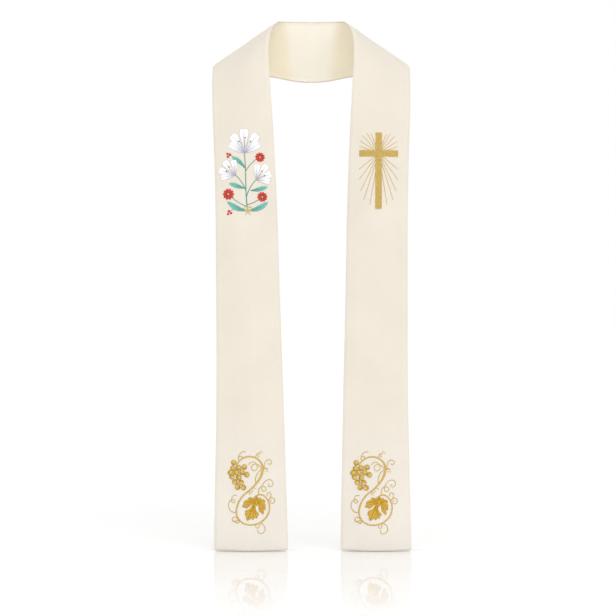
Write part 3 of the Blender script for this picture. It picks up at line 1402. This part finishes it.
def spray_groups(thread):
    """The lily spray's stitches for each thread."""
    yarn = in_mm(thread)
    green = [satin(drawn(row), row.widths, SPRAY_STEM_LAY, yarn) for row in SPRAY_STEMS]
    for row in SPRAY_LEAVES:
        leaf = drawn(row)
        green.append(fishbone(leaf, row.widths, SPRAY_LEAF_LEAN, SPRAY_LEAF_LAY, yarn))
        green.append(running(leaf, SPRAY_VEIN_REACH, SPRAY_VEIN_LAY, yarn.thick))
    white = []
    for index, row in enumerate(LILY_PETALS):
        height = PETAL_STEP * (index % PETAL_LEVELS)
        petal = drawn(row)
        white.append(fishbone(petal, row.widths, PETAL_LEAN, raised(PETAL_LAY, height), yarn))
        vein_thick = yarn.thick * PETAL_VEIN_THICKNESS
        white.append(running(petal, PETAL_VEIN_REACH, raised(PETAL_VEIN_LAY, height), vein_thick))
    gold = []
    for row in STAMENS:
        line = drawn(row)
        gold.append(satin(line, row.widths, STAMEN_LAY, yarn))
        gold.append(disc(Dot(*line.points[-1], STAMEN_TIP), row.heading, STAMEN_TIP_LAY, yarn))
    gold += [satin(drawn(row), row.widths, FOOT_LOOP_LAY, yarn) for row in FOOT_LOOPS]
    red = []
    for dot in BLOSSOMS:
        red += blossom_work(dot, yarn)
        eye = Dot(dot.x, dot.z, dot.radius * BLOSSOM_EYE)
        gold.append(disc(eye, 40, BLOSSOM_EYE_LAY, yarn))
    for index, dot in enumerate(BERRIES):
        red.append(disc(dot, 30 * index, BERRY_LAY, yarn))
    return {"white": together(white), "teal": together(green), "gold": together(gold), "red": together(red)}


def seam_work(side):
    """Slip stitches along both edges of one half, as ends, directions away from the cloth and facts."""
    band = BANDS[side]
    runs = np.arange(SLIP_START, band.length - SLIP_END, SLIP_SPACING)
    width = band.width(runs)
    starts, ends = [], []
    for edge in (0, 1):
        inside = (LINING_SETBACK + SLIP_INTO_LINING) / width
        outside = (LINING_SETBACK - SLIP_INTO_FACE) / width
        inside, outside = (1 - inside, 1 - outside) if edge else (inside, outside)
        starts.append(band.point(runs, inside, np.full_like(runs, -GAP / 2 - LINING_THICKNESS)))
        ends.append(band.point(runs + SLIP_SLANT, outside, np.full_like(runs, GAP / 2)))
    start, end = np.concatenate(starts), np.concatenate(ends)
    half_way = np.full_like(runs, 0.5)
    inner_side = band.point(runs, half_way, np.zeros_like(runs))
    away = inner_side - band.point(runs, half_way, np.full_like(runs, MM))
    facts = np.broadcast_to(SLIP_FACTS, (len(start), len(SLIP_FACTS)))
    return start, end, unit(np.concatenate([away, away])), facts


# Studio


def add_sun(sun, strength):
    """A soft light from far off."""
    bpy.ops.object.light_add(type="SUN", rotation=Vector(sun.way).to_track_quat("-Z", "Y").to_euler())
    light = bpy.context.object
    light.name = sun.name
    light.data.energy = strength * sun.share
    light.data.angle = math.radians(SUN_SOFTNESS)


def soft_sky(studio):
    """White light from all round, dimmer from both sides, which lets the folds show."""
    world = bpy.data.worlds.new("soft_white")
    world.use_nodes = True
    background = world.node_tree.nodes["Background"]
    background.inputs["Color"].default_value = (*WHITE, 1.0)
    background.inputs["Strength"].default_value = studio.sky
    nodes = Nodes(world.node_tree)
    way = nodes.node("ShaderNodeTexCoord").outputs["Generated"]
    parts = nodes.node("ShaderNodeSeparateXYZ", links={0: way})
    aside = nodes.node("ShaderNodeMath", links={0: parts.outputs["X"]}, operation="ABSOLUTE")
    light = nodes.fade(aside.outputs[0], DIM_FROM, DIM_TO, 1.0, studio.sides)
    world.node_tree.links.new(light, background.inputs["Color"])
    return world


def hem_shade(finish, level, shade):
    """How much light the floor keeps near a hem, from 1 well away down to the shade's darkest."""
    reach = (1 / shade.half_length, 1 / shade.half_depth, 0.0)
    around = finish.mapped(level, Location=(-shade.x * reach[0], -shade.y * reach[1], 0.0), Scale=reach)
    nearness = finish.node("ShaderNodeTexGradient", links={"Vector": around}, gradient_type="SPHERICAL")
    return finish.fade(nearness.outputs["Fac"], 0.0, SHADE_EASE, 1.0, 1 - shade.darkness)


def floor_finish(studio):
    """White floor, shaded under the hems, that is polished close to the stole and dull further off."""
    finish = Finish("pale_floor", studio.floor, 0.9, 0.0, more={"Coat Roughness": 0.0})
    place = finish.node("ShaderNodeTexCoord").outputs["Object"]
    level = finish.node("ShaderNodeVectorMath", {1: (1.0, 1.0, 0.0)}, {0: place}, operation="MULTIPLY")
    distance = finish.node("ShaderNodeVectorMath", links={0: level.outputs[0]}, operation="LENGTH")
    finish.feed("Coat Weight", finish.fade(distance.outputs["Value"], POLISH_NEAR, POLISH_FAR, POLISH, 0.0))
    colour = tuple(studio.floor)
    for shade in HEM_SHADES:
        colour = finish.blend("MULTIPLY", None, colour, hem_shade(finish, level.outputs[0], shade))
    finish.feed("Base Color", colour)
    return finish.material


# Operators


class STOLE_OT_faces(bpy.types.Operator):
    """Make the two ivory faces of the stole"""

    bl_idname = "stole.faces"
    bl_label = "Faces"

    def execute(self, context):
        cloth = context.scene.stole_cloth
        material = face_finish(cloth)
        for side, node in ((1, "face_left"), (-1, "face_right")):
            grid = sheet_grid(
                BANDS[side], GAP / 2, GAP / 2 + FACE_THICKNESS, 0.0, 0.0, True, cloth.grid, cloth.turning,
            )
            if side < 0:
                grid = SheetGrid(*(values[::-1] for values in grid))
            face = make_sheet(FACE_NAMES[side], grid, material)
            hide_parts(node)
            declare_sheet(0.0, 0.0)
        return {"FINISHED"}


class STOLE_OT_lining(bpy.types.Operator):
    """Make the warm lining, in one piece across the nape"""

    bl_idname = "stole.lining"
    bl_label = "Lining"

    def execute(self, context):
        cloth = context.scene.stole_cloth
        halves = [
            sheet_grid(
                BANDS[side], -GAP / 2 - LINING_THICKNESS, -GAP / 2, LINING_SETBACK, LINING_HEM_SETBACK,
                False, cloth.grid * LINING_GRID, 0.0,
            )
            for side in (-1, 1)
        ]
        grid = SheetGrid(*(np.concatenate([right[:0:-1], left]) for right, left in zip(*halves)))
        lining = make_sheet("lining_cloth_sheet", grid, lining_finish(cloth))
        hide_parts("lining")
        declare_sheet(LINING_SETBACK, LINING_HEM_SETBACK)
        return {"FINISHED"}


class STOLE_OT_seams(bpy.types.Operator):
    """Sew the lining to the turned edges with slip stitches"""

    bl_idname = "stole.seams"
    bl_label = "Seams"

    def execute(self, context):
        material = plain_thread_finish("ivory_thread", context.scene.stole_cloth.ivory)
        form = model_stitch()
        for side, name in ((1, "slip_stitches_left"), (-1, "slip_stitches_right")):
            make_threads(name, *seam_work(side), form, material, "face_cloth", 11 + side)
        return {"FINISHED"}


class STOLE_OT_cross(bpy.types.Operator):
    """Embroider the gold cross with its rays"""

    bl_idname = "stole.cross"
    bl_label = "Cross"

    def execute(self, context):
        thread = context.scene.stole_thread
        work = cross_work(thread)
        work = Stitches(turned(work.start, CROSS_TILT), turned(work.end, CROSS_TILT), work.facts)
        piece = embroider(
            "cross_embroidery", work, CROSS_PLACE, model_stitch(), gold_finish(thread), "gold_thread", 21,
        )
        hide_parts("cross")
        return {"FINISHED"}


class STOLE_OT_vines(bpy.types.Operator):
    """Embroider a grapevine above each hem"""

    bl_idname = "stole.vines"
    bl_label = "Grapevines"

    def execute(self, context):
        thread = context.scene.stole_thread
        material = gold_finish(thread)
        form = model_stitch()
        work = vine_work(thread)
        for seed, place in enumerate(VINE_PLACES, start=31):
            name = "grapevine_left" if place[0] > 0 else "grapevine_right"
            embroider(name, work, place, form, material, "gold_thread", seed)
        return {"FINISHED"}


class STOLE_OT_lilies(bpy.types.Operator):
    """Embroider the lily spray"""

    bl_idname = "stole.lilies"
    bl_label = "Lily spray"

    def execute(self, context):
        thread = context.scene.stole_thread
        form = model_stitch()
        finishes = {
            "white": petal_finish(thread),
            "teal": plain_thread_finish("teal_thread_twist", thread.teal),
            "gold": gold_finish(thread),
            "red": plain_thread_finish("red_thread_twist", thread.red),
        }
        for seed, (colour, work) in enumerate(spray_groups(thread).items(), start=41):
            slot = f"{colour}_thread"
            embroider(f"lily_spray_{colour}", work, SPRAY_PLACE, form, finishes[colour], slot, seed)
        return {"FINISHED"}


class STOLE_OT_studio(bpy.types.Operator):
    """Make the pale floor, the soft lights and the camera"""

    bl_idname = "stole.studio"
    bl_label = "Studio"

    def execute(self, context):
        studio = context.scene.stole_studio
        bpy.ops.object.select_all(action="DESELECT")
        bpy.ops.mesh.primitive_circle_add(
            vertices=64, radius=FLOOR_RADIUS, fill_type="NGON", location=(0.0, 0.0, -studio.floor_drop),
        )
        floor = bpy.context.object
        floor.name = "floor"
        bpy.ops.object.transform_apply(location=True, rotation=True, scale=True)
        floor.data.materials.append(floor_finish(studio))
        context.scene.world = soft_sky(studio)
        for sun in SUNS:
            add_sun(sun, studio.key)
        bpy.ops.object.camera_add(location=studio.camera, rotation=(math.radians(90), 0.0, 0.0))
        camera = bpy.context.object
        camera.name = "camera"
        camera.data.lens = studio.lens
        camera.data.sensor_width = SENSOR_WIDTH
        context.scene.camera = camera
        context.scene.view_settings.view_transform = "Standard"
        return {"FINISHED"}


class STOLE_PT_panel(bpy.types.Panel):
    """The stole's steps, in their order"""

    bl_idname = "STOLE_PT_panel"
    bl_label = "Clerical Stole"
    bl_space_type = "VIEW_3D"
    bl_region_type = "UI"
    bl_category = "Stole"

    def draw(self, context):
        for group in (context.scene.stole_cloth, context.scene.stole_thread, context.scene.stole_studio):
            for name in group.bl_rna.properties.keys():
                if name not in ("rna_type", "name"):
                    self.layout.prop(group, name)
        for step in STEPS:
            self.layout.operator(step.bl_idname)


STEPS = (
    STOLE_OT_faces, STOLE_OT_lining, STOLE_OT_seams, STOLE_OT_cross, STOLE_OT_vines, STOLE_OT_lilies,
    STOLE_OT_studio,
)
CLASSES = (StoleCloth, StoleThread, StoleStudio, *STEPS, STOLE_PT_panel)


def register():
    """Adds the stole's settings, steps and panel."""
    for item in CLASSES:
        bpy.utils.register_class(item)
    bpy.types.Scene.stole_cloth = bpy.props.PointerProperty(type=StoleCloth)
    bpy.types.Scene.stole_thread = bpy.props.PointerProperty(type=StoleThread)
    bpy.types.Scene.stole_studio = bpy.props.PointerProperty(type=StoleStudio)


def unregister():
    """Takes them away again."""
    del bpy.types.Scene.stole_studio
    del bpy.types.Scene.stole_thread
    del bpy.types.Scene.stole_cloth
    for item in reversed(CLASSES):
        bpy.utils.unregister_class(item)


def main():
    """Makes the stole step by step."""
    register()
    bpy.ops.stole.faces()
    bpy.ops.stole.lining()
    bpy.ops.stole.seams()
    bpy.ops.stole.cross()
    bpy.ops.stole.vines()
    bpy.ops.stole.lilies()
    bpy.ops.stole.studio()


if __name__ == "__main__":
    main()
